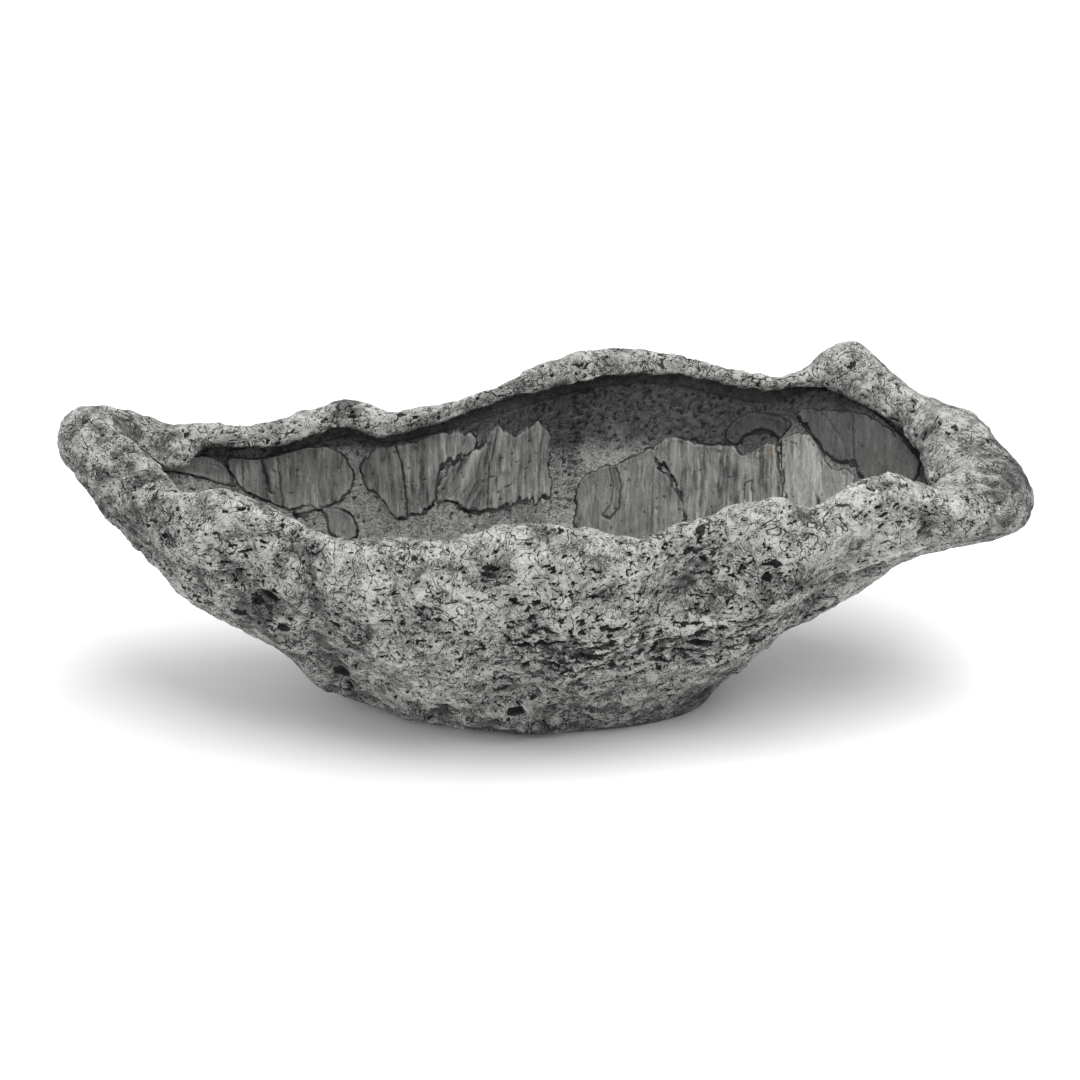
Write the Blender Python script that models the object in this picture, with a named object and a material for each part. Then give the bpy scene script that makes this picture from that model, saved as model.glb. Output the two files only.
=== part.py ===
"""A boat-shaped rock bowl, cast as a hollow resin shell with a rolled, lumpy rim.

The shell is lined with a thin backing coat, and strokes of resin paste are spread over the coat.
The bowl stands on the flat face at z = 0, with the origin at the middle of that face.
+X runs along the bowl to its blunt end, and +Y to the higher side of the rim.
"""

import math

import bpy
from mathutils import Vector, noise

# Sizes in metres
LENGTH = 0.436  # between the two ends of the rim
WIDTH = 0.180  # across the rim
HEIGHT = 0.140  # to the highest lump of the rim
BASE_LENGTH = 0.158
BASE_WIDTH = 0.074
WALL = 0.008  # along the sides and the base
BLUNT_WALL = 0.023  # behind the heavy rim at the blunt end
SHARP_WALL = 0.018  # and at the sharp end
FLOOR = 0.011
LIP = 0.009  # half the width of the rolled rim along the sides
BLUNT_LIP = 0.020  # half its width at the blunt end
SHARP_LIP = 0.016  # and at the sharp end
LIP_DEPTH = 0.012  # from the ridge of the rim down to its edges
COAT = 0.003  # the lining
PASTE = 0.002  # each stroke of paste on the lining
GAP = 0.0004  # left between pieces that touch

STATIONS = 96  # round the rim
STROKE_STEPS = 2  # of a stroke's outline, for each station
STROKE_ROWS = 4
RIM_STEPS = 5  # round the rolled rim
RIM_TURNS = (0.70, 0.92)  # from where to where the rim's sides turn into its ends, as shares of half the length
HULL_TURNS = (0.45, 0.95)  # and the hull's
FAR_TURNS = (-0.15, 0.15)  # from where to where the near side turns into the far one, as shares of the width
BULGE_RISE = 1.5  # a power that lifts the widest part of the hull's swelling above its middle
NOISE_STARTS = 0.012  # the rock is even up to here, so that the base stays flat

# The ridge of the rim, anticlockwise from the blunt end, seen from above.
# Each point is x, y and z in hundredths of half the length, half the width and the height.
RIDGE = [
    (92, 7, 81), (88, 36, 86), (82, 61, 89), (74, 81, 95), (65, 90, 99), (57, 87, 93),
    (50, 85, 89), (41, 88, 92), (29, 93, 96), (14, 96, 97), (2, 89, 94), (-9, 72, 91),
    (-21, 58, 87), (-33, 51, 86), (-41, 52, 91), (-51, 49, 88), (-62, 43, 84), (-73, 40, 86),
    (-84, 31, 95), (-91, 18, 98), (-89, 0, 95), (-81, -21, 89), (-72, -44, 87), (-62, -52, 90),
    (-51, -61, 86), (-42, -69, 79), (-33, -72, 79), (-20, -79, 80), (-10, -78, 84), (-2, -78, 86),
    (6, -80, 85), (19, -78, 83), (28, -71, 86), (39, -64, 90), (49, -61, 91), (55, -60, 88),
    (63, -51, 91), (70, -44, 93), (79, -39, 89), (87, -20, 84),
]

# How the hull fills out between the base and the rim: a power (under 1 is full, over 1 is lean)
# and a swelling in metres.
HULL = {"blunt_end": (1.3, -0.002), "far": (0.75, 0.007), "sharp_end": (0.8, 0.009), "near": (0.7, 0.010)}

# Rows of the hull from the base to the rim, and of the hollow from the rim to the floor,
# as shares of the height of the rim's outer edge.
HULL_ROWS = (0.0, 0.07, 0.16, 0.27, 0.39, 0.51, 0.63, 0.75, 0.87, 1.0)
HOLLOW_ROWS = (0.97, 0.94, 0.84, 0.72, 0.59, 0.46, 0.33, 0.21, 0.11)
FLOOR_RING = 0.5  # a ring of the floor, as a share of the lowest row of the hollow

# Lumps and dents of the rock: x, y, z, radius and height in millimetres on a bowl of this size.
LUMPS = [
    (202, -6, 88, 26, 8), (198, 34, 116, 22, 5), (-208, 12, 130, 16, 5), (-94, -24, 18, 18, 4),
    (143, 88, 130, 20, 4), (-89, 52, 124, 16, 3), (-11, -46, 8, 12, 7),
    (-150, -40, 80, 34, 5), (-60, -72, 70, 30, 5), (20, -84, 60, 36, 4), (100, -66, 92, 26, 4),
    (150, -46, 100, 24, 3), (-84, -66, 76, 12, -5), (-78, -58, 40, 14, -4), (62, -76, 88, 18, -6),
    (124, -58, 96, 10, -3), (-120, 40, 80, 26, 4), (40, 96, 80, 34, 5), (-30, 66, 60, 26, 4),
    (110, 84, 66, 22, -4), (-60, 56, 90, 14, -4), (176, 40, 90, 20, 4), (-190, 20, 100, 18, 3),
]
LUMPS_MADE_AT = Vector((0.218, 0.090, 0.140))  # half length, half width and height they belong to
WAVE = 0.0035  # height of the rock's broad waves
WAVE_SIZE = 0.040
KNOB = 0.0014  # height of its smaller knobs
KNOB_SIZE = 0.015

# Strokes of paste, each an outline along the wall: its place round the rim, in shares of the way
# from the blunt end, with the stroke's lower and upper edge there as shares of the hollow's depth.
STROKES = {
    "end_stroke": [
        (0.028, 0.80, 0.92), (0.036, 0.78, 0.93), (0.045, 0.78, 0.93), (0.055, 0.81, 0.93), (0.065, 0.82, 0.93),
        (0.071, 0.785, 0.93), (0.082, 0.785, 0.92), (0.093, 0.805, 0.91), (0.10, 0.805, 0.89), (0.115, 0.84, 0.86),
    ],
    "cracked_stroke": [
        (0.050, 0.64, 0.74), (0.056, 0.60, 0.78), (0.064, 0.58, 0.79), (0.070, 0.58, 0.755), (0.078, 0.62, 0.75),
        (0.085, 0.65, 0.755), (0.096, 0.68, 0.775), (0.104, 0.71, 0.78), (0.110, 0.745, 0.785),
    ],
    "arched_stroke": [
        (0.119, 0.80, 0.84), (0.126, 0.81, 0.88), (0.134, 0.83, 0.92), (0.144, 0.84, 0.93), (0.152, 0.83, 0.91),
        (0.158, 0.82, 0.87),
    ],
    "streaked_stroke": [
        (0.079, 0.51, 0.60), (0.085, 0.50, 0.63), (0.096, 0.50, 0.66), (0.104, 0.50, 0.69), (0.112, 0.49, 0.725),
        (0.125, 0.48, 0.78), (0.138, 0.45, 0.80), (0.150, 0.44, 0.78), (0.162, 0.45, 0.785), (0.166, 0.545, 0.785),
        (0.170, 0.575, 0.785), (0.178, 0.625, 0.79), (0.186, 0.665, 0.78), (0.193, 0.695, 0.76), (0.196, 0.71, 0.74),
    ],
    "grooved_stroke": [
        (0.166, 0.45, 0.52), (0.170, 0.43, 0.55), (0.178, 0.41, 0.60), (0.186, 0.40, 0.64), (0.193, 0.39, 0.67),
        (0.205, 0.38, 0.71), (0.216, 0.38, 0.66), (0.226, 0.39, 0.64), (0.235, 0.41, 0.62), (0.240, 0.45, 0.58),
    ],
    "scalloped_stroke": [
        (0.262, 0.54, 0.82), (0.272, 0.53, 0.87), (0.284, 0.56, 0.87), (0.296, 0.60, 0.91), (0.307, 0.62, 0.92),
        (0.313, 0.63, 0.90), (0.316, 0.64, 0.855), (0.322, 0.66, 0.845), (0.329, 0.69, 0.82), (0.334, 0.71, 0.755),
    ],
    "round_stroke": [
        (0.315, 0.875, 0.915), (0.322, 0.865, 0.93), (0.329, 0.84, 0.93), (0.335, 0.77, 0.93), (0.340, 0.70, 0.93),
        (0.350, 0.65, 0.93), (0.357, 0.64, 0.93), (0.364, 0.68, 0.91), (0.371, 0.77, 0.85),
    ],
    "left_stroke": [
        (0.378, 0.79, 0.83), (0.383, 0.73, 0.90), (0.390, 0.71, 0.92), (0.400, 0.69, 0.93), (0.412, 0.71, 0.93),
        (0.425, 0.72, 0.92), (0.434, 0.77, 0.91), (0.438, 0.82, 0.88),
    ],
    "floor_smear": [(0.390, 0.56, 0.62), (0.400, 0.52, 0.65), (0.408, 0.58, 0.67), (0.418, 0.65, 0.68)],
    "leaf_smear": [
        (0.442, 0.85, 0.89), (0.450, 0.83, 0.92), (0.462, 0.84, 0.93), (0.476, 0.84, 0.92), (0.488, 0.86, 0.88),
    ],
    "near_left_stroke": [(0.560, 0.54, 0.66), (0.580, 0.44, 0.84), (0.610, 0.42, 0.88), (0.640, 0.52, 0.80)],
    "near_middle_stroke": [(0.655, 0.50, 0.70), (0.680, 0.38, 0.84), (0.720, 0.36, 0.88), (0.750, 0.48, 0.78)],
    "near_right_stroke": [(0.770, 0.54, 0.74), (0.800, 0.42, 0.84), (0.850, 0.44, 0.88), (0.880, 0.56, 0.76)],
}

# Colour and roughness of each finish
FINISHES = {
    "rock": ((0.33, 0.34, 0.32, 1), 0.9),
    "backing": ((0.20, 0.20, 0.19, 1), 0.8),
    "paste": ((0.24, 0.245, 0.23, 1), 0.65),
}


def material(name):
    colour, roughness = FINISHES[name]
    made = bpy.data.materials.new(name)
    made.use_nodes = True
    shader = made.node_tree.nodes["Principled BSDF"]
    shader.inputs["Base Color"].default_value = colour
    shader.inputs["Roughness"].default_value = roughness
    shader.inputs["Metallic"].default_value = 0
    return made


def mesh_object(name, points, faces, finish):
    mesh = bpy.data.meshes.new(name)
    mesh.from_pydata([tuple(point) for point in points], [], faces)
    mesh.shade_smooth()
    mesh.materials.append(finish)
    made = bpy.data.objects.new(name, mesh)
    bpy.context.scene.collection.objects.link(made)
    return made


def mix(a, b, share):
    return a + (b - a) * share


def smooth_step(value, low, high):
    share = min(1.0, max(0.0, (value - low) / (high - low)))
    return share * share * (3 - 2 * share)


def spline(before, start, end, after, share):
    """A point of the Catmull-Rom curve between start and end."""
    return (
        start * 2
        + (end - before) * share
        + (before * 2 - start * 5 + end * 4 - after) * share**2
        + (start * 3 - before - end * 3 + after) * share**3
    ) / 2


def evenly_spaced(loop, count):
    """Points at even distances round a closed loop."""
    ends = [*loop[1:], loop[0]]
    lengths = [(b - a).length for a, b in zip(loop, ends)]
    step = sum(lengths) / count
    found, walked, i = [], 0.0, 0
    for k in range(count):
        while walked + lengths[i] < k * step:
            walked += lengths[i]
            i += 1
        found.append(loop[i].lerp(ends[i], (k * step - walked) / lengths[i]))
    return found


def ridge_points():
    """The ridge of the rim at each station."""
    scale = Vector((LENGTH / 200, WIDTH / 200, HEIGHT / 100))
    knots = [Vector(point) * scale for point in RIDGE]
    fine_steps = 12
    loop = [
        spline(knots[i - 1], knots[i], knots[(i + 1) % len(knots)], knots[(i + 2) % len(knots)], k / fine_steps)
        for i in range(len(knots))
        for k in range(fine_steps)
    ]
    return evenly_spaced(loop, STATIONS)


class Station:
    """One place round the rim, with the section of the bowl there."""

    def __init__(self, ridge):
        self.ridge = ridge
        blunt = ridge.x > 0
        along = abs(ridge.x) / (LENGTH / 2)
        spine = LENGTH / 2 * RIM_TURNS[0]
        nearest = Vector((max(-spine, min(spine, ridge.x)), 0, 0))
        self.outward = (Vector((ridge.x, ridge.y, 0)) - nearest).normalized()
        angle = math.atan2(ridge.y / WIDTH, ridge.x / LENGTH)
        around = Vector((math.cos(angle), math.sin(angle), 0))
        self.base = around * Vector((BASE_LENGTH / 2, BASE_WIDTH / 2, 0))
        self.floor = around * Vector((BASE_LENGTH / 2 - WALL, BASE_WIDTH / 2 - WALL, 0))
        turned = smooth_step(along, *RIM_TURNS)
        self.lip = mix(LIP, BLUNT_LIP if blunt else SHARP_LIP, turned)
        self.edge = ridge + self.outward * self.lip - Vector((0, 0, LIP_DEPTH))
        self.inner_edge = self.edge - self.outward * mix(WALL, BLUNT_WALL if blunt else SHARP_WALL, turned)
        self.power, self.swelling = self.hull_form("blunt_end" if blunt else "sharp_end", along)

    def hull_form(self, end, along):
        """The hull's power and swelling, between those of its sides and its end."""
        far = smooth_step(self.ridge.y / WIDTH, *FAR_TURNS)
        sides = [mix(near, far_one, far) for near, far_one in zip(HULL["near"], HULL["far"])]
        turned = smooth_step(along, *HULL_TURNS)
        return [mix(side, at_end, turned) for side, at_end in zip(sides, HULL[end])]

    def wall(self, foot, top, share):
        """A point of a wall that rises from its foot to its top, at a share of the way up."""
        point = foot.lerp(top, share**self.power)
        point += self.outward * self.swelling * math.sin(math.pi * share**BULGE_RISE)
        point.z = self.edge.z * share
        return point

    def hull(self, share):
        """The outside of the shell."""
        return self.wall(self.base, self.edge, share)

    def hollow(self, share):
        """The inside of the shell, which stops at its floor."""
        point = self.wall(self.floor, self.inner_edge, share)
        point.z = max(point.z, FLOOR)
        return point

    def rim(self, turn):
        """The rolled rim, from its outer edge at turn 0 over the ridge to its inner edge at turn 1."""
        angle = math.pi * turn
        centre = self.ridge - Vector((0, 0, LIP_DEPTH))
        return centre + self.outward * self.lip * math.cos(angle) + Vector((0, 0, LIP_DEPTH * math.sin(angle)))


def normals_of(rows):
    """The normal at each point of a grid of rings, which lie one below the other."""
    found = []
    for r, row in enumerate(rows):
        above, below = rows[max(r - 1, 0)], rows[min(r + 1, len(rows) - 1)]
        found.append(
            [
                (row[(s + 1) % len(row)] - row[s - 1]).cross(above[s] - below[s]).normalized()
                for s in range(len(row))
            ]
        )
    return found


def roughened(point, normal):
    """A point of the rock moved by its lumps, broad waves and knobs. The base stays flat."""
    sized = Vector((point.x / LENGTH * 2, point.y / WIDTH * 2, point.z / HEIGHT)) * LUMPS_MADE_AT
    move = WAVE * noise.noise(point / WAVE_SIZE) + KNOB * noise.noise(point / KNOB_SIZE)
    for x, y, z, radius, height in LUMPS:
        away = (sized - Vector((x, y, z)) / 1000).length * 1000 / radius
        move += height / 1000 * math.exp(-away * away)
    rough = point + normal * move * smooth_step(point.z, 0, NOISE_STARTS)
    rough.z = max(rough.z, min(point.z, NOISE_STARTS / 4))
    return rough


def hollow_rows(stations):
    """Rings of the hollow's wall, from under the rim down to the floor, with the normals into the hollow."""
    rows = [[station.hollow(share) for station in stations] for share in HOLLOW_ROWS]
    rows.append([Vector((p.x * FLOOR_RING, p.y * FLOOR_RING, FLOOR)) for p in rows[-1]])
    inward = [[-n for n in row] for row in normals_of(rows)]
    inward[-1] = [Vector((0, 0, 1)) for _ in stations]
    return rows, inward


def moved(rows, normals, distance):
    return [[p + n * distance for p, n in zip(row, ns)] for row, ns in zip(rows, normals)]


def ring_faces(count, rings, turned=0):
    """Quads between rings of points, facing out when the first ring is the lowest one outside.

    A quad splits from its first corner. The first bands are turned, to split from the next one.
    """
    faces = []
    for r in range(rings - 1):
        for s in range(count):
            low, low_next = r * count + s, r * count + (s + 1) % count
            high, high_next = low + count, low_next + count
            faces.append((low_next, high_next, high, low) if r < turned else (low, low_next, high_next, high))
    return faces


def closed_by_poles(rings, bottom, top, turned=0):
    """Points and faces of a body made of rings that ends in a point below and in another above."""
    count = len(rings[0])
    points = [point for ring in rings for point in ring]
    low, high = len(points), len(points) + 1
    last = (len(rings) - 1) * count
    faces = ring_faces(count, len(rings), turned)
    faces += [(low, (s + 1) % count, s) for s in range(count)]
    faces += [(high, last + s, last + (s + 1) % count) for s in range(count)]
    return [*points, bottom, top], faces


def make_shell(stations, hollow, finish):
    rows = [[station.hull(share) for station in stations] for share in HULL_ROWS]
    rows += [[station.rim(k / RIM_STEPS) for station in stations] for k in range(1, RIM_STEPS + 1)]
    outs = normals_of(rows[::-1])[::-1]
    rough = [[roughened(p, n) for p, n in zip(row, ns)] for row, ns in zip(rows, outs)]
    points, faces = closed_by_poles(rough + hollow, Vector((0, 0, 0)), Vector((0, 0, FLOOR)))
    return mesh_object("rock_shell", points, faces, finish)


def make_coat(hollow, inward, finish):
    """The lining, from the second ring of the hollow's wall down. Its quads split as the hollow's do."""
    outer = moved(hollow[1:], inward[1:], GAP)
    inner = moved(hollow[1:], inward[1:], GAP + COAT)
    bottom = Vector((0, 0, FLOOR + GAP))
    rings = outer[::-1] + inner
    points, faces = closed_by_poles(rings, bottom, bottom + Vector((0, 0, COAT)), turned=len(outer) - 1)
    return mesh_object("backing_coat", points, faces, finish)


def on_wall(grid, around, share):
    """A point of a wall's rings at a place round the rim and a share of the hollow's depth."""
    place = around % 1.0 * STATIONS
    s = int(place)
    for r in range(1, len(HOLLOW_ROWS) - 1):
        if share >= HOLLOW_ROWS[r + 1]:
            break
    up = (HOLLOW_ROWS[r] - share) / (HOLLOW_ROWS[r] - HOLLOW_ROWS[r + 1])
    here = grid[r][s % STATIONS].lerp(grid[r + 1][s % STATIONS], up)
    beside = grid[r][(s + 1) % STATIONS].lerp(grid[r + 1][(s + 1) % STATIONS], up)
    return here.lerp(beside, place - s)


def edges_of(outline, around):
    """The stroke's lower and upper edge at a place round the rim."""
    for (a, low_a, high_a), (b, low_b, high_b) in zip(outline, outline[1:]):
        if around <= b:
            break
    share = (around - a) / (b - a)
    return mix(low_a, low_b, share), mix(high_a, high_b, share)


def make_stroke(name, outline, hollow, inward, finish):
    first = math.ceil(outline[0][0] * STATIONS * STROKE_STEPS)
    last = math.floor(outline[-1][0] * STATIONS * STROKE_STEPS)
    places = [k / (STATIONS * STROKE_STEPS) for k in range(first, last + 1)]
    height = STROKE_ROWS + 1
    points, faces = [], []
    for distance in (2 * GAP + COAT, 2 * GAP + COAT + PASTE):
        surface = moved(hollow, inward, distance)
        for around in places:
            low, high = edges_of(outline, around)
            points += [on_wall(surface, around, mix(low, high, k / STROKE_ROWS)) for k in range(height)]
    back = len(places) * height
    for i in range(len(places) - 1):
        for k in range(STROKE_ROWS):
            a, b = i * height + k, (i + 1) * height + k
            faces.append((a, b, b + 1, a + 1))
            faces.append((back + a, back + a + 1, back + b + 1, back + b))
    outside = [i * height for i in range(len(places))]
    outside += [(len(places) - 1) * height + k for k in range(1, height)]
    outside += [i * height + STROKE_ROWS for i in range(len(places) - 2, -1, -1)]
    outside += [k for k in range(STROKE_ROWS - 1, 0, -1)]
    for a, b in zip(outside, [*outside[1:], outside[0]]):
        faces.append((a, back + a, back + b, b))
    return mesh_object(name, points, faces, finish)


def main():
    for old in list(bpy.data.objects):
        bpy.data.objects.remove(old)
    stations = [Station(ridge) for ridge in ridge_points()]
    hollow, inward = hollow_rows(stations)
    make_shell(stations, hollow, material("rock"))
    make_coat(hollow, inward, material("backing"))
    paste = material("paste")
    for name, outline in STROKES.items():
        make_stroke(name, outline, hollow, inward, paste)


main()
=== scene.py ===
import bpy
import math
import numpy as np
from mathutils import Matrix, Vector


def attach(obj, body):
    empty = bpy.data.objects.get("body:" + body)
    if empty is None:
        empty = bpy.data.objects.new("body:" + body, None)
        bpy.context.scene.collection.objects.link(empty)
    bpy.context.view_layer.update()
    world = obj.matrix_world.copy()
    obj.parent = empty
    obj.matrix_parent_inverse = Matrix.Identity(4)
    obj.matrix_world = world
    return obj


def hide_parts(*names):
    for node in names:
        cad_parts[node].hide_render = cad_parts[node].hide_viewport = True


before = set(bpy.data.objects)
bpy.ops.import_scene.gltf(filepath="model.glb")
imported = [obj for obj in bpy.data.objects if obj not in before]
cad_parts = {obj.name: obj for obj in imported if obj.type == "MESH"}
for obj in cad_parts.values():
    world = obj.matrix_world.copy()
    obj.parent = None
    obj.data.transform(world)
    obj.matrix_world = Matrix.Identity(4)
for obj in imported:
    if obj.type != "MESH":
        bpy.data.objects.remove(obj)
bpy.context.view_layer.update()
print("bowl loaded")

mm = 0.001
body = "root"


def linked(name, data):
    made = bpy.data.objects.new(name, data)
    bpy.context.scene.collection.objects.link(made)
    return made


# Camera and view

viewPlan = {"above": 27, "away": 1.6, "aim": (0, 0, 0.080), "sensor": 36, "lens": 116.85}


def placeCamera(plan):
    rise = math.radians(plan["above"])
    back = Vector((0, -math.cos(rise), math.sin(rise)))
    camera = linked("camera", bpy.data.cameras.new("camera"))
    camera.data.sensor_width = plan["sensor"]
    camera.data.lens = plan["lens"]
    camera.data.clip_end = 20
    camera.location = Vector(plan["aim"]) + back * plan["away"]
    camera.rotation_mode = "QUATERNION"
    camera.rotation_quaternion = (-back).to_track_quat("-Z", "Y")
    bpy.context.scene.camera = camera


placeCamera(viewPlan)


# Numbers on grids of points

def ease(low, high, value):
    share = np.clip((value - low) / (high - low), 0, 1)
    return share * share * (3 - 2 * share)


def bell(value, width):
    return np.exp(-(value / width) ** 2)


slopes = np.array([
    (1, 1, 0), (-1, 1, 0), (1, -1, 0), (-1, -1, 0), (1, 0, 1), (-1, 0, 1), (1, 0, -1), (-1, 0, -1),
    (0, 1, 1), (0, -1, 1), (0, 1, -1), (0, -1, -1), (1, 1, 0), (-1, 1, 0), (0, -1, 1), (0, -1, -1),
], np.float32)


def lumps(points, size, seed):
    # smooth lumps about size millimetres across, from about -1 to 1; points are in millimetres
    place = points / size + seed * 17.31
    cell = np.floor(place).astype(np.int64)
    inside = (place - cell).astype(np.float32)
    fade = inside ** 3 * (inside * (inside * 6 - 15) + 10)
    total = np.zeros(points.shape[:-1], np.float32)
    for corner in np.ndindex(2, 2, 2):
        x, y, z = (cell[..., k] + corner[k] for k in range(3))
        mixed = (x * 73856093 ^ y * 19349663 ^ z * 83492791 ^ seed * 6542989) & 0xffffffff
        mixed = (mixed ^ (mixed >> 15)) * 2246822519 & 0xffffffff
        mixed = (mixed ^ (mixed >> 13)) * 3266489917 & 0xffffffff
        slope = slopes[(mixed >> 16) & 15]
        weight = 1.0
        push = 0.0
        for k in range(3):
            push = push + slope[..., k] * (inside[..., k] - corner[k])
            weight = weight * (fade[..., k] if corner[k] else 1 - fade[..., k])
        total += weight * push
    return total * 1.5


def drift(points, size, seed, reach):
    # pushes the points about, so that what is drawn on them loses its regular look
    moves = [lumps(points, size, seed + k) for k in range(3)]
    return points + np.stack(moves, -1) * reach


def creases(points, size, seed, thin):
    # thin winding lines, 1 in their middle
    return ease(1 - thin, 1, 1 - np.abs(lumps(points, size, seed)) * 1.6)


def blurred(grid, reach, rounds=2):
    # average of the places up to reach away; the columns go all the way round
    for axis, mode in ((1, "wrap"), (0, "edge")):
        for _ in range(rounds):
            room = [(0, 0), (0, 0)]
            room[axis] = (reach + 1, reach)
            sums = np.cumsum(np.pad(grid, room, mode=mode), axis=axis)
            ahead = np.take(sums, range(2 * reach + 1, sums.shape[axis]), axis)
            behind = np.take(sums, range(0, sums.shape[axis] - 2 * reach - 1), axis)
            grid = (ahead - behind) / (2 * reach + 1)
    return grid


def toLine(points, path):
    # distance from each point to a line of short straight pieces, and how far above the line it lies
    path = np.array(path, float)
    best = np.full(points.shape[:-1], 1e9)
    beside = np.zeros(points.shape[:-1])
    for a, b in zip(path, path[1:]):
        way = b - a
        share = np.clip(((points - a) @ way) / (way @ way), 0, 1)
        away = points - (a + share[..., None] * way)
        distance = np.sqrt((away ** 2).sum(-1))
        closer = distance < best
        best = np.where(closer, distance, best)
        beside = np.where(closer, away[..., -1], beside)
    return best, beside


def smoothThrough(rows, knots, where):
    # smooth curves through the rows, which lie at knots, read at the places where
    step = np.diff(knots)
    wide = step.reshape((-1,) + (1,) * (rows.ndim - 1))
    slope = np.diff(rows, axis=0) / wide
    turn = np.empty_like(rows)
    turn[1:-1] = (slope[1:] * wide[:-1] + slope[:-1] * wide[1:]) / (wide[1:] + wide[:-1])
    turn[0], turn[-1] = slope[0], slope[-1]
    i = np.clip(np.searchsorted(knots, where, "right") - 1, 0, len(step) - 1)
    h = wide[i]
    t = ((where - knots[i]) / step[i]).reshape(h.shape)
    start = (2 * t ** 3 - 3 * t ** 2 + 1) * rows[i] + (t ** 3 - 2 * t ** 2 + t) * h * turn[i]
    return start + (3 * t ** 2 - 2 * t ** 3) * rows[i + 1] + (t ** 3 - t ** 2) * h * turn[i + 1]


def smoothRound(rings, columns):
    # the same round closed rings: (rings, points, 3) becomes (rings, columns, 3)
    count = rings.shape[1]
    wrapped = np.concatenate([rings[:, -2:], rings, rings[:, :3]], 1).transpose(1, 0, 2)
    where = 2 + np.arange(columns) * count / columns
    return smoothThrough(wrapped, np.arange(count + 5.0), where).transpose(1, 0, 2)


def normalsOf(grid):
    # a point's normal on a grid of rings; the rings go round anticlockwise
    along = np.roll(grid, -1, 1) - np.roll(grid, 1, 1)
    up = np.gradient(grid, axis=0)
    across = np.cross(along, up)
    return across / np.maximum(np.linalg.norm(across, axis=-1, keepdims=True), 1e-12)


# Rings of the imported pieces

def levelsOf(node, flatHeight):
    # the node's points once each, their neighbours, and its rings outward from its flat middle
    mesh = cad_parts[node].data
    corners = np.zeros(len(mesh.vertices) * 3)
    mesh.vertices.foreach_get("co", corners)
    corners = corners.reshape(-1, 3)
    keys = np.round(corners * 1e6).astype(np.int64)
    _, first, same = np.unique(keys, axis=0, return_index=True, return_inverse=True)
    same = same.reshape(-1)
    points = corners[first]
    near = [set() for _ in points]
    for face in mesh.polygons:
        found = [int(same[v]) for v in face.vertices]
        for v in found:
            near[v].update(found)
    level = {i for i, p in enumerate(points) if abs(p[2] - flatHeight) < 2e-6}
    seen = set(level)
    levels = []
    while level:
        levels.append(level)
        level = {b for a in level for b in near[a]} - seen
        seen |= level
    return points, near, levels


def walkRing(points, near, ring):
    # the ring's points in order, anticlockwise from the first one past the +X axis
    def bearing(v):
        return math.atan2(points[v][1], points[v][0]) % (2 * math.pi)
    start = min(ring, key=bearing)
    beside = [v for v in near[start] if v in ring and v != start]
    walk = [start, max(beside, key=lambda v: points[v][1])]
    while len(walk) < len(ring):
        ahead = [v for v in near[walk[-1]] if v in ring and v not in (walk[-1], walk[-2])]
        walk.append(ahead[0])
    return walk


def nextRing(near, walk, level, side):
    # each point leads to its own point in the next ring and to one beside that
    count = len(walk)
    return [min(near[v] & near[walk[(i + side) % count]] & level) for i, v in enumerate(walk)]


def shellRings():
    points, near, levels = levelsOf("rock_shell", 0.0)
    first = walkRing(points, near, levels[1])
    walks = [nextRing(near, first, levels[0], 1), first]
    for level in levels[2:24]:
        walks.append(nextRing(near, walks[-1], level, -1))
    return np.array([points[walk] for walk in walks]) / mm


def coatRings():
    # the lining's inner wall from the bottom up, and its outer wall from the top down
    points, near, levels = levelsOf("backing_coat", coatPlan["floor"] * mm)
    walks = [walkRing(points, near, levels[1])]
    for level in levels[2:9]:
        walks.append(nextRing(near, walks[-1], level, 1))
    outer = [walkRing(points, near, level) for level in levels[9:17]]
    return np.array([points[walk] for walk in walks]) / mm, np.array([points[w] for w in outer]) / mm


# Meshes

def addPiece(name, points, corners, sizes, uv, finish, details):
    # points in millimetres; corners and uv run through the faces, whose sizes are given
    mesh = bpy.data.meshes.new(name)
    mesh.vertices.add(len(points))
    mesh.vertices.foreach_set("co", (points * mm).astype(np.float32).ravel())
    mesh.loops.add(len(corners))
    mesh.loops.foreach_set("vertex_index", corners.astype(np.int32))
    mesh.polygons.add(len(sizes))
    mesh.polygons.foreach_set("loop_start", (np.cumsum(sizes) - sizes).astype(np.int32))
    mesh.polygons.foreach_set("use_smooth", np.ones(len(sizes), bool))
    mesh.update(calc_edges=True)
    mesh.uv_layers.new(name="OFBake").uv.foreach_set("vector", uv.astype(np.float32).ravel())
    for word, values in details.items():
        kept = mesh.attributes.new(word, "FLOAT", "POINT")
        kept.data.foreach_set("value", values.astype(np.float32))
    mesh.materials.append(finish)
    return linked(name, mesh)


def gridFaces(rows, columns):
    # quads between rings; the last column joins the first
    r, c = np.meshgrid(np.arange(rows - 1), np.arange(columns), indexing="ij")
    beside = (c + 1) % columns
    quads = np.stack([r * columns + c, r * columns + beside,
                      (r + 1) * columns + beside, (r + 1) * columns + c], -1).reshape(-1, 4)
    return quads, r.reshape(-1), c.reshape(-1)


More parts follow.
